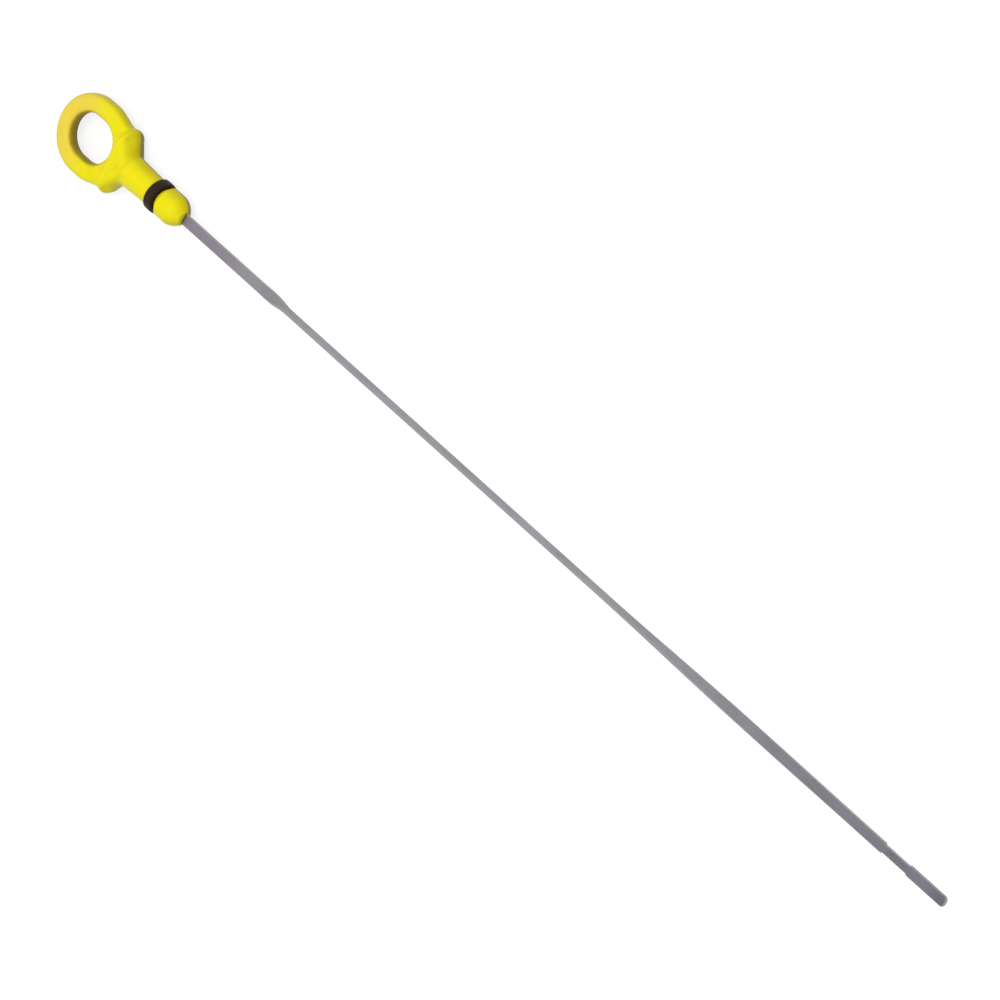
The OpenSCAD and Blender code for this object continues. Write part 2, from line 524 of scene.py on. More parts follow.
@dataclass
class PullHandle:
    """The moulded handle: finger ring, webs, stop collar, neck, and the plug that holds the blade.

    The mould blends these forms into each other, which swept surfaces that only cross can't show. So each
    form is a distance field, the fields are joined with fillets, and one skin covers the whole.
    """

    stick: Stick
    hole_len: float = 20.5
    hole_w: float = 17.1
    ring_t: float = 6.5
    ring_round: float = 2.5
    hole_gap: float = 3.2
    web_angle: float = 58.0
    web_inset: float = 0.7
    collar_w: float = 27.4
    collar_len: float = 3.1
    collar_round: float = 1.4
    slope_len: float = 4.2
    neck_root_d: float = 12.6
    neck_end_d: float = 11.2
    groove_d: float = 8.2
    waist_d: float = 9.8
    lead_len: float = 0.6
    lead_d: float = 10.8
    land_d: float = 12.4
    land_len: float = 4.6
    nose_len: float = 7.8
    nose_power: float = 1.8
    nose_close: float = 0.8
    nose_stop: float = 0.97
    foot_out: float = 0.2
    slope_scale: float = 0.8
    web_fillet: float = 1.2
    collar_fillet: float = 1.4
    neck_fillet: float = 1.0
    small_edge: float = 0.35
    overlap: float = 1.0
    seal_fit: float = 0.05
    tang_w: float = 4.4
    tang_t: float = 1.2
    tang_fit: float = 0.04
    search_margin: float = 0.6
    edge_gain: float = 0.45
    edge_least: float = 0.12
    crease_reach: float = 1.2
    crease_gain: float = 0.5
    finger_hole_shade: float = 1.7
    hole_shade_reach: float = 1.1

    def build(self, frame: dict) -> bpy.types.Object:
        """Makes the handle's mesh and marks its edges and creases.

        The finger hole's wall is marked as a crease too, so that painted shade lies on it, as in the
        creases.

        Returns:
            The piece.
        """
        self._take_places(frame)
        margin = self.search_margin
        points, faces = SkinMaker().skin(self._whole, self.low - margin, self.high + margin)
        piece = make_piece("handle_moulding", self.stick.lay_down(points), faces)
        edge = bend(self._whole, points) * self.edge_gain - self.edge_least
        # The crease mark carries painted shade: in the concave creases, and near the finger hole's wall.
        crease = -bend(self._whole, points, self.crease_reach) * self.crease_gain
        grime_and_shade = self.finger_hole_shade * self._near_hole(points)
        set_mark(piece.data, Mark.STICK, points)
        set_mark(piece.data, Mark.EDGE, np.clip(edge, 0, 1))
        set_mark(piece.data, Mark.CREASE, np.clip(crease, 0, 1) + grime_and_shade)
        return piece

    def _near_hole(self, p: np.ndarray) -> np.ndarray:
        """Tells how close points are to the finger hole's wall: 1 on it, and 0 from hole_shade_reach away."""
        from_wall = self._from_middle(p) - self.hole_w / 2
        return ease(1 - from_wall / self.hole_shade_reach)

    def _from_middle(self, p: np.ndarray) -> np.ndarray:
        """Distance in plan to the short straight line that the finger ring goes round."""
        along = np.maximum(np.abs(p[:, 0] - self.loop_x) - self.loop_run / 2, 0)
        return np.hypot(along, p[:, 1])

    def _take_places(self, frame: dict) -> None:
        """Works the handle's places along the stick out of the CAD nodes.
        """
        self.low, self.high = self.stick.extent(frame, Node.HANDLE)
        seal_low, seal_high = self.stick.extent(frame, Node.SEAL)
        blade_low, _ = self.stick.extent(frame, Node.BLADE)
        self.ring_w = self.high[1] - self.hole_w / 2
        self.collar_h = self.high[2] * 2
        self.loop_r = (self.hole_w + self.ring_w) / 2
        self.loop_run = self.hole_len - self.hole_w
        self.loop_x = self.low[0] + self.ring_w + self.hole_len / 2
        self.collar_back = self.loop_x + self.hole_len / 2 + self.hole_gap
        self.collar_x = self.collar_back + self.collar_len / 2
        self.collar_front = self.collar_back + self.collar_len
        self.neck_root = self.collar_front + self.slope_len
        self.seal_back = seal_low[0] - self.seal_fit
        self.seal_front = seal_high[0] + self.seal_fit
        self.nose_end = self.high[0]
        self.tang_back = blade_low[0]

    def _grip(self, p: np.ndarray) -> np.ndarray:
        """Finger ring and webs: one rounded section along a loop and along a straight line on both sides.

        The loop is two half circles joined by two straight sides. Each web runs from the loop's middle line
        to the collar. The distances to the two lines are joined in plan, so that a fillet fills the corner
        between them and the faces stay flat. The fillet stays outside the loop's middle line, so that the
        finger hole keeps its outline.

        Args:
            p: Rows of x, y and z.

        Returns:
            Distance to the grip.
        """
        beyond_loop = self._from_middle(p) - self.loop_r
        from_loop = np.abs(beyond_loop)
        angle = math.radians(self.web_angle)
        start_x = self.loop_x + self.loop_run / 2 + self.loop_r * math.cos(angle)
        start = np.array([start_x, self.loop_r * math.sin(angle)])
        end = np.array([self.collar_x, self.collar_w / 2 - self.web_inset - self.ring_w / 2])
        run = end - start
        flat = np.stack([p[:, 0], np.abs(p[:, 1])], axis=1) - start
        share = np.clip(flat @ run / (run @ run), 0, 1)
        from_web = np.linalg.norm(flat - share[:, None] * run, axis=1)
        filled = np.maximum(smooth_min(from_loop, from_web, self.web_fillet), 0)
        out = np.where(beyond_loop > 0, filled, np.minimum(from_loop, from_web))
        return rounded_box(out, p[:, 2], self.ring_w / 2, self.ring_t / 2, self.ring_round)

    def _rim(self, p: np.ndarray) -> np.ndarray:
        """Collar's rim: a slab whose outline has two round ends, with rounded edges.

        Args:
            p: Rows of x, y and z.

        Returns:
            Distance to the rim.
        """
        spread = self.collar_w - self.collar_h
        out = np.hypot(np.maximum(np.abs(p[:, 1]) - spread / 2, 0), p[:, 2])
        along = p[:, 0] - self.collar_x
        return rounded_box(out, along, self.collar_h / 2, self.collar_len / 2, self.collar_round)

    def _slope(self, p: np.ndarray) -> np.ndarray:
        """Sloped front: the collar's outline shrinks evenly to the neck's foot.

        The distance is taken across the stick and then scaled, because the slope leans.

        Args:
            p: Rows of x, y and z.

        Returns:
            Distance to the slope.
        """
        inset = self.collar_round * (1 - math.cos(math.radians(45)))
        start = self.collar_front - inset
        share = np.clip((p[:, 0] - start) / (self.neck_root - start), 0, 1)
        spread = (self.collar_w - self.collar_h) / 2 * (1 - share)
        foot = self.neck_root_d / 2 + self.foot_out
        radius = (self.collar_h / 2 - inset) * (1 - share) + foot * share
        out = np.hypot(np.maximum(np.abs(p[:, 1]) - spread, 0), p[:, 2]) - radius
        ends = np.maximum(self.collar_x - p[:, 0], p[:, 0] - self.neck_root)
        return smooth_max(out * self.slope_scale, ends, self.small_edge)

    def _turned(self, p: np.ndarray, radius: np.ndarray | float, start: float, end: float) -> np.ndarray:
        """A round form on the stick's axis between two places.

        Args:
            p: Rows of x, y and z.
            radius: Its radius, the same all along or one for each row.
            start: Where it starts along the stick.
            end: Where it ends.

        Returns:
            Distance to the form.
        """
        out = np.hypot(p[:, 1], p[:, 2]) - radius
        ends = np.maximum(start - p[:, 0], p[:, 0] - end)
        return smooth_max(out, ends, self.small_edge)

    def _plug(self, p: np.ndarray) -> np.ndarray:
        """Plug ahead of the seal: groove's floor, waist, cone, land and bullet nose.

        The nose's radius is the land's, times one less u to a power, to a power, with u from 0 at the land
        to 1 at the point where it would close.

        Args:
            p: Rows of x, y and z.

        Returns:
            Distance to the plug.
        """
        x = p[:, 0]
        cone = np.interp(x, [-self.lead_len, 0], [self.lead_d / 2, self.land_d / 2])
        u = np.clip((x - self.land_len) / self.nose_len, 0, self.nose_stop)
        nose = (1 - u**self.nose_power) ** self.nose_close
        front = self._turned(p, cone * nose, -self.lead_len, self.nose_end)
        waist = self._turned(p, self.waist_d / 2, self.seal_front, 0)
        floor_start, floor_end = self.seal_back - self.overlap, self.seal_front + self.overlap
        floor = self._turned(p, self.groove_d / 2, floor_start, floor_end)
        return smooth_min(np.minimum(waist, floor), front, self.small_edge)

    def _neck(self, p: np.ndarray) -> np.ndarray:
        """Neck: a slow cone from the collar to the wall behind the seal.

        Args:
            p: Rows of x, y and z.

        Returns:
            Distance to the neck.
        """
        places = [self.neck_root, self.seal_back]
        radius = np.interp(p[:, 0], places, [self.neck_root_d / 2, self.neck_end_d / 2])
        return self._turned(p, radius, self.neck_root - self.neck_fillet, self.seal_back)

    def _tang_slot(self, p: np.ndarray) -> np.ndarray:
        """Slot that the blade's tang fills, open at the nose.

        Args:
            p: Rows of x, y and z.

        Returns:
            Distance to the slot.
        """
        width = np.abs(p[:, 1]) - self.tang_w / 2 - self.tang_fit
        height = np.abs(p[:, 2]) - self.tang_t / 2 - self.tang_fit
        return np.maximum(np.maximum(width, height), self.tang_back - self.tang_fit - p[:, 0])

    def _whole(self, p: np.ndarray) -> np.ndarray:
        """All of the handle, each form joined to the next with its own fillet.

        Args:
            p: Rows of x, y and z.

        Returns:
            Distance to the handle.
        """
        collar = smooth_min(self._rim(p), self._slope(p), self.small_edge)
        yoke = smooth_min(self._grip(p), collar, self.collar_fillet)
        body = smooth_min(yoke, self._neck(p), self.neck_fillet)
        solid = smooth_min(body, self._plug(p), self.small_edge)
        return smooth_max(solid, -self._tang_slot(p), self.small_edge / 2)


@dataclass
class SealRing:
    """The rubber ring in the plug's groove, with the fine flash that its mould leaves round the outside."""

    stick: Stick
    groove_d: float = 8.2
    fit: float = 0.05
    corner: float = 1.0
    flash_h: float = 0.07
    flash_w: float = 0.16
    outer_power: int = 8
    worn_power: int = 6
    film_power: int = 4
    steps_r: int = 6
    steps_x: int = 44
    steps_corner: int = 8
    around: int = 160

    def build(self, frame: dict) -> bpy.types.Object:
        """Turns the ring's section about the stick's axis.

        The section is a rectangle with round corners. Its outer side is sunk by the height of the flash,
        except for a bell-shaped bead along its middle, so that the bead reaches the ring's size. The bead
        and the rims are marked as edges, and both sides as creases.


        Returns:
            The piece.
        """
        low, high = self.stick.extent(frame, Node.SEAL)
        inner = self.groove_d / 2 + self.fit
        half_r, half_x = (high[2] - inner) / 2, (high[0] - low[0]) / 2
        steps = (self.steps_r, self.steps_x, self.steps_corner)
        r, x = rounded_outline(half_r, half_x, self.corner, *steps)
        outer = np.clip(r / half_r, 0, 1) ** self.outer_power
        bead = np.exp(-((x / self.flash_w) ** 2))
        turn = np.linspace(0, 2 * math.pi, self.around, endpoint=False)[:, None]
        radius = (inner + half_r + r - self.flash_h * outer * (1 - bead))[None, :]
        along = np.broadcast_to((low[0] + high[0]) / 2 + x, (self.around, len(x)))
        points = np.stack([along, radius * np.cos(turn), radius * np.sin(turn)], axis=-1).reshape(-1, 3)
        faces = ring_faces(self.around + 1, len(x)) % len(points)
        piece = make_piece("seal_ring_rubber", self.stick.lay_down(points), faces[:, ::-1])
        from_side = np.abs(x) / half_x
        rim = np.clip(from_side**self.worn_power * outer + bead * outer, 0, 1)
        set_mark(piece.data, Mark.STICK, points)
        set_mark(piece.data, Mark.EDGE, np.tile(rim, self.around))
        set_mark(piece.data, Mark.CREASE, np.tile(from_side**self.film_power, self.around))
        return piece


@dataclass
class GaugeBlade:
    """The steel strip: its tang in the plug, a quick turn on edge, a slow turn back, the level marks."""

    stick: Stick
    width: float = 4.4
    thickness: float = 1.2
    edge_round: float = 0.35
    tip_round: float = 1.5
    turn: float = -90.0
    flat_len: float = 44.0
    first_turn_len: float = 16.0
    second_turn_len: float = 140.0
    tip_flat_len: float = 50.0
    low_mark_in: float = 20.0
    mark_span: float = 14.0
    waist_depth: float = 0.5
    hatch_depth: float = 0.18
    hatch_pitch: float = 1.8
    hatch_margin: float = 2.5
    hatch_step: float = 0.125
    twist_step: float = 0.8
    overlap: float = 1.0
    face_slack: float = 0.02
    film_reach: float = 3.0
    sharp_from: float = 38.0
    steps_across: int = 32
    steps_edge: int = 4
    steps_corner: int = 4
    rings_first_flat: int = 12
    rings_on_edge: int = 40
    rings_last_flat: int = 6
    rings_end: int = 8
    rings_tip_round: int = 9
    places_to: int = 4

    def build(self, frame: dict) -> bpy.types.Object:
        """Carries the strip's section along the stick and turns it at each place.


        Returns:
            The piece.
        """
        low, high = self.stick.extent(frame, Node.BLADE)
        _, handle_high = self.stick.extent(frame, Node.HANDLE)
        self.start, self.tip, self.nose_end = low[0], high[0], handle_high[0]
        self.low_mark = self.tip - self.low_mark_in
        self.high_mark = self.low_mark - self.mark_span
        self.turn_start = self.nose_end + self.flat_len
        self.return_end = self.tip - self.tip_flat_len
        self.return_start = self.return_end - self.second_turn_len
        x = self._stations()
        steps = (self.steps_across, self.steps_edge, self.steps_corner)
        y, z = rounded_outline(self.width / 2, self.thickness / 2, self.edge_round, *steps)
        points = self.stick.lay_down(self._strip(x, y, z))
        first_ring, last_ring = np.arange(len(points)).reshape(len(x), len(y))[[0, -1]]
        faces = ring_faces(len(x), len(y))
        piece = make_piece("gauge_blade_steel", points, faces, [first_ring[::-1], last_ring])
        self._mark(piece.data)
        return piece

    def _angle_at(self, x: np.ndarray) -> np.ndarray:
        """Turn of the strip at a place: an eased rise, a hold and an eased return.

        Args:
            x: Places along the stick.

        Returns:
            Angles, in radians.
        """
        rise = ease((x - self.turn_start) / self.first_turn_len)
        fall = ease((x - self.return_start) / self.second_turn_len)
        return math.radians(self.turn) * (rise - fall)

    def _half_width(self, x: np.ndarray) -> np.ndarray:
        """Half of the strip's width: less on the waist between the level marks, round at the tip's corners.

        Args:
            x: Places along the stick.

        Returns:
            Half widths, in millimetres.
        """
        near_tip = np.clip(x - (self.tip - self.tip_round), 0, self.tip_round)
        waist = np.clip(np.minimum(x - self.high_mark, self.low_mark - x), 0, self.waist_depth)
        return self.width / 2 - waist - self.tip_round + np.sqrt(self.tip_round**2 - near_tip**2)

    def _stations(self) -> np.ndarray:
        """Places of the rings along the stick: close where the strip turns, at the marks and at the tip.

        Returns:
            Increasing places, in millimetres.
        """
        turn_end = self.turn_start + self.first_turn_len
        marks_start, marks_end = self.high_mark - self.overlap, self.low_mark + self.overlap
        quarter = np.linspace(0, math.pi / 2, self.rings_tip_round)
        parts = [
            [self.start],
            np.linspace(self.nose_end - self.overlap, self.turn_start, self.rings_first_flat),
            np.arange(self.turn_start, turn_end, self.twist_step / 2),
            np.linspace(turn_end, self.return_start, self.rings_on_edge),
            np.arange(self.return_start, self.return_end, self.twist_step),
            np.linspace(self.return_end, marks_start, self.rings_last_flat),
            np.arange(marks_start, marks_end, self.hatch_step),
            np.linspace(marks_end, self.tip - self.tip_round, self.rings_end),
            self.tip - self.tip_round * (1 - np.sin(quarter)),
        ]
        return np.unique(np.round(np.concatenate(parts), self.places_to))

    def _strip(self, x: np.ndarray, y: np.ndarray, z: np.ndarray) -> np.ndarray:
        """Places every ring's points.

        The faces sink along crossed lines between the level marks. Then each ring is turned about the stick.

        Args:
            x: Places of the rings.
            y: The section's points across.
            z: The section's points through the thickness.

        Returns:
            Rows of x, y and z in the stick's frame.
        """
        across = y[None, :] * (self._half_width(x) / (self.width / 2))[:, None]
        face = np.sign(z)[None, :]
        on_face = np.abs(z[None, :]) > self.thickness / 2 - self.face_slack
        up = z[None, :] - face * self._groove(x[:, None], across) * on_face
        angle = self._angle_at(x)[:, None]
        turned_y = across * np.cos(angle) - up * np.sin(angle)
        turned_z = across * np.sin(angle) + up * np.cos(angle)
        along = np.broadcast_to(x[:, None], across.shape)
        return np.stack([along, turned_y, turned_z], axis=-1).reshape(-1, 3)

    def _groove(self, x: np.ndarray, y: np.ndarray) -> np.ndarray:
        """Depth of the cross-hatching: a V along every line that leans one way or the other.

        Args:
            x: Places along the stick.
            y: Places across the strip.

        Returns:
            Depth, in millimetres.
        """
        first = self.high_mark + self.hatch_margin
        hatched = self.mark_span - 2 * self.hatch_margin
        last = first + math.floor(hatched / self.hatch_pitch) * self.hatch_pitch
        depth = np.zeros(np.broadcast_shapes(x.shape, y.shape))
        for lean in (-1, 1):
            foot = x + lean * y
            line = np.round((foot - first) / self.hatch_pitch) * self.hatch_pitch + first
            nearest = np.clip(line, first, last)
            off_line = np.abs(foot - nearest) / math.sqrt(2)
            depth = np.maximum(depth, self.hatch_depth - off_line)
        return depth

    def _mark(self, mesh: bpy.types.Mesh) -> None:
        """Marks each vertex's place on the untwisted strip, and how near it is to an edge and to the nose.

        Args:
            mesh: The blade's mesh.
        """
        p = self.stick.stand_up(vertex_places(mesh))
        angle = self._angle_at(p[:, 0])
        y = p[:, 1] * np.cos(angle) + p[:, 2] * np.sin(angle)
        z = p[:, 2] * np.cos(angle) - p[:, 1] * np.sin(angle)
        near = np.minimum(self._half_width(p[:, 0]) - np.abs(y), self.tip - p[:, 0])
        set_mark(mesh, Mark.STICK, np.column_stack([p[:, 0], y, z]))
        set_mark(mesh, Mark.EDGE, np.clip(1 - near / (2 * self.edge_round), 0, 1))
        from_nose = np.abs(p[:, 0] - self.nose_end)
        set_mark(mesh, Mark.CREASE, np.clip(1 - from_nose / self.film_reach, 0, 1))
        mesh.set_sharp_from_angle(angle=math.radians(self.sharp_from))


class ShaderTree:
    """A short way to add and join nodes in a material, a group or the world."""

    def __init__(self, tree: bpy.types.NodeTree) -> None:
        """Starts from a node tree as it is."""
        self.tree = tree

    def feed(self, node: bpy.types.Node, inputs: dict) -> None:
        """Sets a node's inputs, or joins sockets to them.

        Args:
            node: The node.
            inputs: Values, or sockets to join to, by the input's name or number.
        """
        for key, value in inputs.items():
            if isinstance(value, bpy.types.NodeSocket):
                self.tree.links.new(value, node.inputs[key])
            else:
                node.inputs[key].default_value = value

    def add(self, kind: str, inputs: dict | None = None, **settings: object) -> bpy.types.Node:
        """Adds a node.

        Args:
            kind: The node's type, without its leading "ShaderNode".
            inputs: Values, or sockets to join to, by the input's name or number.
            **settings: Properties to set on the node first.

        Returns:
            The node.
        """
        node = self.tree.nodes.new(kind if kind.startswith("Node") else "ShaderNode" + kind)
        for key, value in settings.items():
            setattr(node, key, value)
        self.feed(node, inputs or {})
        return node

    def math(self, operation: str, a: object, b: object = 0.0, clamp: bool = False) -> bpy.types.NodeSocket:
        """Works out one sum of two numbers or sockets.

        Args:
            operation: Blender's name of the sum.
            a: First number or socket.
            b: Second number or socket.
            clamp: True to keep the result within 0 and 1.

        Returns:
            The result's socket.
        """
        return self.add("Math", {0: a, 1: b}, operation=operation, use_clamp=clamp).outputs[0]

    def scaled(self, value: object, weight: float) -> bpy.types.NodeSocket:
        """Multiplies a socket by a number."""
        return self.math("MULTIPLY", value, weight)

    def total(
        self, base: object, *terms: tuple[bpy.types.NodeSocket, float], clamp: bool = False
    ) -> bpy.types.NodeSocket:
        """Adds sockets to a base, each times its weight.

        Args:
            base: Number or socket to start from.
            *terms: Pairs of a socket and its weight.
            clamp: True to keep the sum within 0 and 1.

        Returns:
            The sum's socket.
        """
        for count, (value, weight) in enumerate(terms, start=1):
            base = self.math("ADD", base, self.scaled(value, weight), clamp and count == len(terms))
        return base

    def mix(self, share: object, a: object, b: object) -> bpy.types.NodeSocket:
        """Mixes two colours.

        Args:
            share: How much of the second.
            a: First colour or socket.
            b: Second colour or socket.

        Returns:
            The mixed colour's socket.
        """
        return self.add("Mix", {0: share, 6: a, 7: b}, data_type="RGBA").outputs[2]

    def tint(self, colour: object, other: Colour, mask: object, share: float) -> bpy.types.NodeSocket:
        """Mixes some of another colour in where a mask lets it.

        Args:
            colour: Colour or socket to start from.
            other: The other colour.
            mask: Socket that is 1 where the other colour shows most.
            share: How much of it shows there.

        Returns:
            The mixed colour's socket.
        """
        return self.mix(self.scaled(mask, share), colour, other)

    def span(
        self, value: object, low: float, high: float, to_low: float = 0.0, to_high: float = 1.0
    ) -> bpy.types.NodeSocket:
        """Maps a range of values smoothly to another and holds its ends.

        Args:
            value: Socket to map.
            low: Start of the range.
            high: End of the range.
            to_low: What the start becomes.
            to_high: What the end becomes.

        Returns:
            The result's socket.
        """
        inputs = {0: value, 1: low, 2: high, 3: to_low, 4: to_high}
        return self.add("MapRange", inputs, interpolation_type="SMOOTHSTEP").outputs[0]

    def noise(
        self, place: object, scale: object, detail: float = 3.0, roughness: float = 0.5
    ) -> bpy.types.NodeSocket:
        """Adds cloudy noise.

        Args:
            place: Socket of the place to read it at.
            scale: How many clouds there are in one unit of that place.
            detail: How many finer layers it has.
            roughness: How strong they are.

        Returns:
            The noise's socket, about 0.5 on average.
        """
        inputs = {"Vector": place, "Scale": scale, "Detail": detail, "Roughness": roughness}
        return self.add("TexNoise", inputs).outputs[0]

    def stretched(self, place: object, scale: Triple) -> bpy.types.NodeSocket:
        """Stretches or squeezes a pattern's place along x, y and z."""
        return self.add("Mapping", {"Vector": place, "Scale": scale}).outputs[0]

    def mark(self, mark: Mark) -> bpy.types.NodeOutputs:
        """Reads what the mesh carries at its vertices."""
        return self.add("Attribute", attribute_name=mark.value, attribute_type="GEOMETRY").outputs

    def marks(self) -> tuple[bpy.types.NodeSocket, bpy.types.NodeSocket, bpy.types.NodeSocket]:
        """Reads all that a mesh carries.

        Returns:
            The place on the stick, nearness to an edge, and depth of a crease.
        """
        return self.mark(Mark.STICK)["Vector"], self.mark(Mark.EDGE)["Fac"], self.mark(Mark.CREASE)["Fac"]

    def relief(self, height: object, strength: float, depth: float) -> bpy.types.NodeSocket:
        """Turns a height into a normal.

        Args:
            height: Socket of the height.
            strength: How strongly it shows.
            depth: How deep a height of 1 is, in millimetres.

        Returns:
            The normal's socket.
        """
        inputs = {"Strength": strength, "Distance": depth * MM, "Height": height}
        return self.add("Bump", inputs).outputs[0]


@dataclass(frozen=True)
class GroupSocket:
    """One input or output of a shader group."""

    name: str
    kind: str = "NodeSocketFloat"
    value: float | None = None


PLACE = GroupSocket("Place", "NodeSocketVector")
AMOUNT = GroupSocket("Amount", value=0.5)
MASK = GroupSocket("Mask")


@dataclass
class EffectGroups:
    """The effects that several finishes share, each built once as a shader group."""

    broad_part: float = 0.75
    fine_part: float = 0.25
    tone_span: Span = (0.3, 0.7)
    wear_level: float = 0.62
    wear_span: Span = (0.1, 0.75)
    patch_span: Span = (0.5, 0.8)
    patch_part: float = 0.35
    scratch_bend: float = 0.35
    scratch_w: float = 0.035
    scratch_patch: float = 0.5
    scratched_span: Span = (0.5, 0.7)

    def __post_init__(self) -> None:
        """Builds every group."""
        self.groups = {
            GroupName.GRAIN: self._grain(),
            GroupName.WEAR: self._wear(),
            GroupName.FILM: self._film(),
            GroupName.SCRATCHES: self._scratches(),
        }

    def place(self, tree: ShaderTree, name: GroupName, inputs: dict) -> bpy.types.NodeOutputs:
        """Puts a group into a material.

        Args:
            tree: The material's tree.
            name: Which group.
            inputs: Its inputs for this material.

        Returns:
            The outputs of the group's node.
        """
        return tree.add("Group", inputs, node_tree=self.groups[name], label=name.value).outputs

    @staticmethod
    def _start(name: GroupName, inputs: Sequence[GroupSocket], outputs: Sequence[GroupSocket]) -> tuple:
        """Makes an empty group with its sockets.

        Args:
            name: The group's name.
            inputs: Its inputs.
            outputs: Its outputs.

        Returns:
            The group, its tree helper, what it is given, and its output node.
        """
        group = bpy.data.node_groups.new(name.value, "ShaderNodeTree")
        for socket in inputs:
            made = group.interface.new_socket(socket.name, in_out="INPUT", socket_type=socket.kind)
            if socket.value is not None:
                made.default_value = socket.value
        for socket in outputs:
            group.interface.new_socket(socket.name, in_out="OUTPUT", socket_type=socket.kind)
        tree = ShaderTree(group)
        return group, tree, tree.add("NodeGroupInput").outputs, tree.add("NodeGroupOutput")

    def _grain(self) -> bpy.types.NodeTree:
        """Grain of a surface: close clouds for its height, and broad ones with a part of them for its tone.

        Returns:
            The group.
        """
        inputs = [PLACE, GroupSocket("Fine", value=6.0), GroupSocket("Broad", value=0.2)]
        outputs = [GroupSocket("Height"), GroupSocket("Tone")]
        group, tree, given, result = self._start(GroupName.GRAIN, inputs, outputs)
        fine = tree.noise(given["Place"], given["Fine"], detail=4.0, roughness=0.6)
        broad = tree.noise(given["Place"], given["Broad"], detail=2.0, roughness=0.5)
        tone = tree.total(tree.scaled(broad, self.broad_part), (fine, self.fine_part))
        tree.feed(result, {"Height": fine, "Tone": tree.span(tone, *self.tone_span)})
        return group

    def _wear(self) -> bpy.types.NodeTree:
        """Wear along edges, broken up by noise so that it comes and goes. The plastic uses this mask for
        painted shade along its edges.

        Returns:
            The group.
        """
        inputs = [PLACE, GroupSocket("Edge"), GroupSocket("Breaks", value=0.4), AMOUNT]
        group, tree, given, result = self._start(GroupName.WEAR, inputs, [MASK])
        breaks = tree.noise(given["Place"], given["Breaks"], detail=5.0, roughness=0.65)
        uneven = tree.math("ADD", given["Edge"], tree.math("SUBTRACT", breaks, self.wear_level))
        worn = tree.span(uneven, *self.wear_span)
        tree.feed(result, {"Mask": tree.math("MULTIPLY", worn, given["Amount"], clamp=True)})
        return group

    def _film(self) -> bpy.types.NodeTree:
        """Oil and dust in thin patches on the faces, and all that the Crease input gives. On the plastic,
        that input is painted shade in creases and on the finger hole's wall.

        Returns:
            The group.
        """
        inputs = [PLACE, GroupSocket("Crease"), GroupSocket("Spread", value=0.25), AMOUNT]
        group, tree, given, result = self._start(GroupName.FILM, inputs, [MASK])
        clouds = tree.noise(given["Place"], given["Spread"], detail=4.0, roughness=0.6)
        patches = tree.span(clouds, *self.patch_span)
        settled = tree.total(given["Crease"], (patches, self.patch_part))
        tree.feed(result, {"Mask": tree.math("MULTIPLY", settled, given["Amount"], clamp=True)})
        return group

    def _scratches(self) -> bpy.types.NodeTree:
        """Hairline scratches: the thin borders between cells whose places are bent by noise.

        Returns:
            The group.
        """
        inputs = [PLACE, GroupSocket("Close", value=1.0), AMOUNT]
        group, tree, given, result = self._start(GroupName.SCRATCHES, inputs, [MASK])
        bent = tree.add("TexNoise", {"Vector": given["Place"], "Scale": self.scratch_bend, "Detail": 2.0})
        place = tree.add("VectorMath", {0: given["Place"], 1: bent.outputs["Color"]}, operation="ADD")
        cells = {"Vector": place.outputs[0], "Scale": given["Close"]}
        border = tree.add("TexVoronoi", cells, feature="DISTANCE_TO_EDGE").outputs["Distance"]
        line = tree.span(border, 0.0, self.scratch_w, 1.0, 0.0)
        here = tree.span(tree.noise(given["Place"], self.scratch_patch, detail=2.0), *self.scratched_span)
        drawn = tree.math("MULTIPLY", line, here)
        tree.feed(result, {"Mask": tree.math("MULTIPLY", drawn, given["Amount"], clamp=True)})
        return group


def start_material(name: str) -> tuple[bpy.types.Material, ShaderTree, bpy.types.Node]:
    """Makes a material with an empty Principled BSDF.

    Args:
        name: The material's name.

    Returns:
        The material, its tree helper and its Principled BSDF.
    """
    material = bpy.data.materials.new(name)
    material.use_nodes = True
    shader = material.node_tree.nodes["Principled BSDF"]
    return material, ShaderTree(material.node_tree), shader


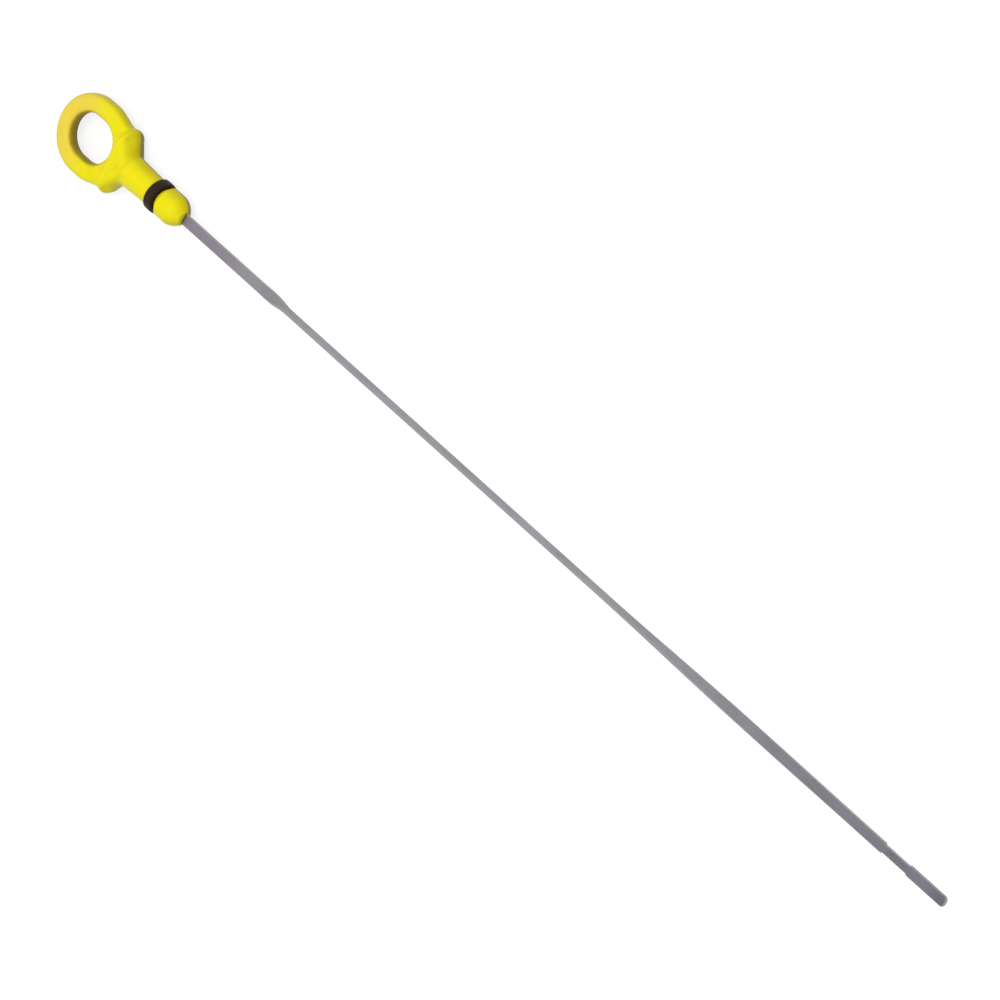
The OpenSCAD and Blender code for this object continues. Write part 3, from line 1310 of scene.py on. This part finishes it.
@dataclass(frozen=True)
class MouldedPlastic:
    """Glossy yellow plastic: orange-tinged and paler towards the ring's far end, with painted shade on its
    sides and darker painted shade on its undersides.

    Painted shade lies in its creases and on the wall of the finger hole, with dirt in thin patches, and
    painted shade runs along its edges, broken up by noise. Its faces are scuffed, and the mould has left a
    fine parting line round it.
    """

    body: Colour = srgb(243, 231, 6)
    far_end: Colour = srgb(241, 213, 78)
    shade: Colour = srgb(112, 84, 16)
    grime_and_shade: Colour = srgb(98, 66, 18)
    scuff: Colour = srgb(250, 240, 140)
    far_span: Span = (-36.0, -52.0)
    far_share: float = 0.85
    side_span: Span = (0.8, 0.3)
    side_share: float = 0.14
    under_span: Span = (0.05, -0.4)
    under_share: float = 0.88
    cloud_share: float = 0.08
    wear_and_edge_shade_share: float = 0.5
    scratch_run: Triple = (0.16, 0.5, 0.5)
    scuff_share: float = 0.3
    parting_w: float = 0.09
    grain_height: float = 0.25
    scratch_depth: float = 0.3
    relief_depth: float = 0.05
    relief_strength: float = 0.35
    gloss: float = 0.3
    grain_rough: float = 0.1
    scratch_rough: float = 0.25
    film_rough: float = 0.2
    specular: float = 0.15

    def make(self, effects: EffectGroups) -> bpy.types.Material:
        """Builds the material.

        Args:
            effects: The shared shader groups.

        Returns:
            The material.
        """
        material, tree, shader = start_material(Slot.PLASTIC.value)
        place, edge, crease = tree.marks()
        x, _, z = tree.add("SeparateXYZ", {0: place}).outputs
        lines = tree.stretched(place, self.scratch_run)
        grained = {"Place": place, "Fine": 2.6, "Broad": 0.09}
        worn = {"Place": place, "Edge": edge, "Breaks": 0.35, "Amount": 0.5}
        settled = {"Place": place, "Crease": crease, "Spread": 0.12, "Amount": 0.35}
        scratched = {"Place": lines, "Close": 1.1, "Amount": 0.4}
        grain = effects.place(tree, GroupName.GRAIN, grained)
        wear_and_edge_shade = effects.place(tree, GroupName.WEAR, worn)["Mask"]
        film_and_shade = effects.place(tree, GroupName.FILM, settled)["Mask"]
        scratch = effects.place(tree, GroupName.SCRATCHES, scratched)["Mask"]
        colour = tree.tint(self.body, self.far_end, tree.span(x, *self.far_span), self.far_share)
        facing_up = tree.add("SeparateXYZ", {0: tree.add("NewGeometry").outputs["Normal"]}).outputs[2]
        # Painted shade: a little on faces that turn away from the top, much on the undersides.
        colour = tree.tint(colour, self.shade, tree.span(facing_up, *self.side_span), self.side_share)
        colour = tree.tint(colour, self.shade, tree.span(facing_up, *self.under_span), self.under_share)
        colour = tree.tint(colour, self.far_end, grain["Tone"], self.cloud_share)
        # Painted shade along the edges, broken up by noise.
        colour = tree.tint(colour, self.shade, wear_and_edge_shade, self.wear_and_edge_shade_share)
        colour = tree.tint(colour, self.scuff, scratch, self.scuff_share)
        # Painted shade in creases and on the finger hole's wall, with dirt in thin patches.
        colour = tree.mix(film_and_shade, colour, self.grime_and_shade)
        parting = tree.span(tree.math("ABSOLUTE", z), 0.0, self.parting_w, 1.0, 0.0)
        height = tree.total(parting, (grain["Height"], self.grain_height), (scratch, -self.scratch_depth))
        dullness = (
            (grain["Tone"], self.grain_rough), (scratch, self.scratch_rough), (film_and_shade, self.film_rough)
        )
        tree.feed(shader, {
            "Base Color": colour,
            "Roughness": tree.total(self.gloss, *dullness, clamp=True),
            "Normal": tree.relief(height, self.relief_strength, self.relief_depth),
            "Specular IOR Level": self.specular,
        })
        return material


@dataclass(frozen=True)
class SealRubber:
    """Black-brown rubber with a faint bloom on its rims and a wet sheen of oil."""

    body: Colour = srgb(48, 34, 20)
    bloom: Colour = srgb(78, 62, 44)
    oil: Colour = srgb(34, 20, 8)
    cloud_share: float = 0.25
    bloom_share: float = 0.6
    ring_height: float = 0.5
    relief_depth: float = 0.04
    relief_strength: float = 0.4
    gloss: float = 0.5
    film_gloss: float = 0.18
    bloom_rough: float = 0.3
    specular: float = 0.12

    def make(self, effects: EffectGroups) -> bpy.types.Material:
        """Builds the material.

        Args:
            effects: The shared shader groups.

        Returns:
            The material.
        """
        material, tree, shader = start_material(Slot.RUBBER.value)
        place, edge, crease = tree.marks()
        worn = {"Place": place, "Edge": edge, "Breaks": 0.9, "Amount": 0.5}
        settled = {"Place": place, "Crease": crease, "Spread": 0.4, "Amount": 0.7}
        grain = effects.place(tree, GroupName.GRAIN, {"Place": place, "Fine": 5.0, "Broad": 0.3})
        wear_and_edge_shade = effects.place(tree, GroupName.WEAR, worn)["Mask"]
        film_and_shade = effects.place(tree, GroupName.FILM, settled)["Mask"]
        colour = tree.tint(self.body, self.oil, grain["Tone"], self.cloud_share)
        colour = tree.tint(colour, self.bloom, wear_and_edge_shade, self.bloom_share)
        colour = tree.mix(film_and_shade, colour, self.oil)
        along = tree.stretched(place, (1.0, 0.0, 0.0))
        rings = tree.add("TexWave", {"Vector": along, "Scale": 1.6, "Distortion": 0.3}).outputs[1]
        height = tree.total(grain["Height"], (rings, self.ring_height))
        dullness = ((film_and_shade, -self.film_gloss), (wear_and_edge_shade, self.bloom_rough))
        tree.feed(shader, {
            "Base Color": colour,
            "Roughness": tree.total(self.gloss, *dullness, clamp=True),
            "Normal": tree.relief(height, self.relief_strength, self.relief_depth),
            "Specular IOR Level": self.specular,
        })
        return material


@dataclass(frozen=True)
class RolledSteel:
    """Satin rolled strip: violet heat tint at the plug, darker with oil towards the tip, wet at its end."""

    body: Colour = srgb(157, 155, 160)
    heat: Colour = srgb(152, 141, 159)
    oiled: Colour = srgb(128, 123, 136)
    bare: Colour = srgb(172, 170, 174)
    stain: Colour = srgb(106, 100, 106)
    wet: Colour = srgb(88, 82, 92)
    heat_span: Span = (60.0, 10.0)
    oil_span: Span = (250.0, 425.0)
    wet_span: Span = (427.0, 440.0)
    drawn_run: Triple = (0.05, 3.0, 3.0)
    scratch_run: Triple = (0.08, 0.7, 0.7)
    blotch_share: float = 0.34
    wet_share: float = 0.6
    film_share: float = 0.6
    drawn_share: float = 0.22
    wear_and_edge_shade_share: float = 0.7
    scratch_share: float = 0.5
    scratch_depth: float = 0.5
    relief_depth: float = 0.03
    relief_strength: float = 0.3
    gloss: float = 0.46
    drawn_rough: float = 0.12
    oil_gloss: float = 0.08

    def make(self, effects: EffectGroups) -> bpy.types.Material:
        """Builds the material.

        Args:
            effects: The shared shader groups.

        Returns:
            The material.
        """
        material, tree, shader = start_material(Slot.STEEL.value)
        place, edge, crease = tree.marks()
        x = tree.add("SeparateXYZ", {0: place}).outputs[0]
        drawn = tree.stretched(place, self.drawn_run)
        lines = tree.stretched(place, self.scratch_run)
        worn = {"Place": place, "Edge": edge, "Breaks": 0.5, "Amount": 0.8}
        settled = {"Place": place, "Crease": crease, "Spread": 0.07, "Amount": 0.6}
        scratched = {"Place": lines, "Close": 1.4, "Amount": 0.7}
        brushed = effects.place(tree, GroupName.GRAIN, {"Place": drawn, "Fine": 3.5, "Broad": 0.6})
        blotches = effects.place(tree, GroupName.GRAIN, {"Place": place, "Fine": 0.8, "Broad": 0.05})
        wear_and_edge_shade = effects.place(tree, GroupName.WEAR, worn)["Mask"]
        film_and_shade = effects.place(tree, GroupName.FILM, settled)["Mask"]
        scratch = effects.place(tree, GroupName.SCRATCHES, scratched)["Mask"]
        oil = tree.span(x, *self.oil_span)
        colour = tree.mix(tree.span(x, *self.heat_span), self.body, self.heat)
        colour = tree.mix(oil, colour, self.oiled)
        colour = tree.tint(colour, self.stain, blotches["Tone"], self.blotch_share)
        colour = tree.tint(colour, self.wet, tree.span(x, *self.wet_span), self.wet_share)
        colour = tree.tint(colour, self.stain, film_and_shade, self.film_share)
        colour = tree.tint(colour, self.bare, brushed["Tone"], self.drawn_share)
        colour = tree.tint(colour, self.bare, wear_and_edge_shade, self.wear_and_edge_shade_share)
        colour = tree.tint(colour, self.bare, scratch, self.scratch_share)
        height = tree.total(brushed["Height"], (scratch, -self.scratch_depth))
        dullness = ((brushed["Tone"], self.drawn_rough), (oil, -self.oil_gloss))
        tree.feed(shader, {
            "Base Color": colour,
            "Roughness": tree.total(self.gloss, *dullness, clamp=True),
            "Normal": tree.relief(height, self.relief_strength, self.relief_depth),
            "Metallic": 1.0,
        })
        return material


@dataclass
class Studio:
    """Plain white floor and surroundings, with soft lamps at a plain level."""

    floor_size: float = 60.0
    floor_tone: float = 0.3
    floor_glow: float = 0.74
    floor_shade: float = 0.36
    sky_level: float = 0.62
    key_from: Triple = (0.2, 0.42, 1.0)
    key_level: float = 1.1
    key_softness: float = 35.0
    fill_from: Triple = (0.5, -0.3, 1.0)
    fill_level: float = 0.2
    fill_softness: float = 60.0

    def build(self, floor_z: float) -> None:
        """Makes the floor, the world and the lamps.

        Args:
            floor_z: Height of the floor, in metres.
        """
        turns = np.array([[-1, -1], [1, -1], [1, 1], [-1, 1]])
        corners = np.column_stack([turns * self.floor_size / 2, np.full(4, floor_z)])
        floor = make_piece("floor", corners, np.array([[0, 1, 2, 3]]))
        floor.data.materials.append(self._floor_finish())
        floor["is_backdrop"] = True
        self._world()
        self._lamp("key", self.key_from, self.key_level, self.key_softness)
        self._lamp("fill", self.fill_from, self.fill_level, self.fill_softness)

    @staticmethod
    def _seen(tree: ShaderTree) -> bpy.types.NodeSocket:
        """Gives 1 for what the camera sees, straight, in a reflection or through glass.

        Args:
            tree: The tree that asks.

        Returns:
            The socket.
        """
        rays = tree.add("LightPath").outputs
        seen = tree.math("MAXIMUM", rays["Is Camera Ray"], rays["Is Glossy Ray"])
        return tree.math("MAXIMUM", seen, rays["Is Transmission Ray"])

    def _floor_finish(self) -> bpy.types.Material:
        """Pale floor that is seen as white and still takes the object's shadow.

        Returns:
            The material.
        """
        material, tree, shader = start_material("pale floor")
        tree.tree.nodes.remove(shader)
        plain = tree.add("BsdfDiffuse", {"Color": (*[self.floor_tone] * 3, 1)})
        taking = tree.add("BsdfDiffuse", {"Color": (*[self.floor_shade] * 3, 1)})
        glowing = tree.add("Emission", {"Color": (1, 1, 1, 1), "Strength": self.floor_glow})
        white = tree.add("AddShader", {0: taking.outputs[0], 1: glowing.outputs[0]})
        mixed = tree.add("MixShader", {0: self._seen(tree), 1: plain.outputs[0], 2: white.outputs[0]})
        tree.feed(tree.tree.nodes["Material Output"], {"Surface": mixed.outputs[0]})
        return material

    def _world(self) -> None:
        """Lights everything evenly, and is seen as white."""
        world = bpy.data.worlds.new("white surroundings")
        world.use_nodes = True
        bpy.context.scene.world = world
        tree = ShaderTree(world.node_tree)
        strength = tree.span(self._seen(tree), 0.0, 1.0, self.sky_level, 1.0)
        tree.feed(world.node_tree.nodes["Background"], {"Color": (1, 1, 1, 1), "Strength": strength})

    @staticmethod
    def _lamp(name: str, towards: Triple, level: float, softness: float) -> None:
        """Adds one far, soft lamp.

        Args:
            name: The lamp's name.
            towards: Direction from the object to the lamp.
            level: Its strength.
            softness: How wide it looks, in degrees.
        """
        lamp = bpy.data.lights.new(name, "SUN")
        lamp.energy = level
        lamp.angle = math.radians(softness)
        holder = bpy.data.objects.new(name, lamp)
        holder.rotation_euler = Vector(towards).to_track_quat("Z", "Y").to_euler()
        holder.visible_glossy = False
        bpy.context.scene.collection.objects.link(holder)


@dataclass
class PhotoCamera:
    """A camera far off with a long lens, at the photograph's viewing angle."""

    azimuth: float = 125.45
    elevation: float = 50.0
    roll: float = -90.53
    distance: float = 8.0
    pixels_per_mm: float = 2.759
    picture: int = 1000
    sensor: float = 36.0
    aim_mm: Triple = (191.1, 0.6, -3.0)

    def build(self) -> None:
        """Makes the camera, which looks at the aim, turned about its own line of sight by the roll."""
        azimuth, elevation = math.radians(self.azimuth), math.radians(self.elevation)
        level = math.cos(elevation)
        back = Vector((math.sin(azimuth) * level, -math.cos(azimuth) * level, math.sin(elevation)))
        data = bpy.data.cameras.new("camera")
        data.sensor_width = self.sensor
        data.lens = self.pixels_per_mm * self.sensor * self.distance / MM / self.picture
        camera = bpy.data.objects.new("camera", data)
        upright = (-back).to_track_quat("-Z", "Y").to_matrix().to_4x4()
        turn = upright @ Matrix.Rotation(math.radians(self.roll), 4, "Z")
        camera.matrix_world = Matrix.Translation(Vector(self.aim_mm) * MM + back * self.distance) @ turn
        bpy.context.scene.collection.objects.link(camera)
        bpy.context.scene.camera = camera


def dress(piece: bpy.types.Object, node: Node, material: bpy.types.Material) -> None:
    """Gives a piece its finish and puts it in the place of its CAD node.

    Args:
        piece: The piece.
        node: The CAD node that it stands for.
        material: Its finish.
    """
    piece.data.materials.clear()
    piece.data.materials.append(material)
    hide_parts(node.value)
    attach(piece, BODY)
    LOG.info("%s: %d vertices, %d faces", piece.name, len(piece.data.vertices), len(piece.data.polygons))


def main() -> None:
    """Builds the dipstick piece by piece, then the studio and the camera."""
    logging.basicConfig(level=logging.INFO, format="%(name)s: %(message)s")
    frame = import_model()
    cad_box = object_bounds()
    stick = Stick.from_frame(frame)
    effects = EffectGroups()
    dress(PullHandle(stick).build(frame), Node.HANDLE, MouldedPlastic().make(effects))
    dress(SealRing(stick).build(frame), Node.SEAL, SealRubber().make(effects))
    dress(GaugeBlade(stick).build(frame), Node.BLADE, RolledSteel().make(effects))
    Studio().build(cad_box[0].z)
    PhotoCamera().build()
    bpy.context.scene.view_settings.view_transform = "Standard"


if __name__ == "__main__":
    main()
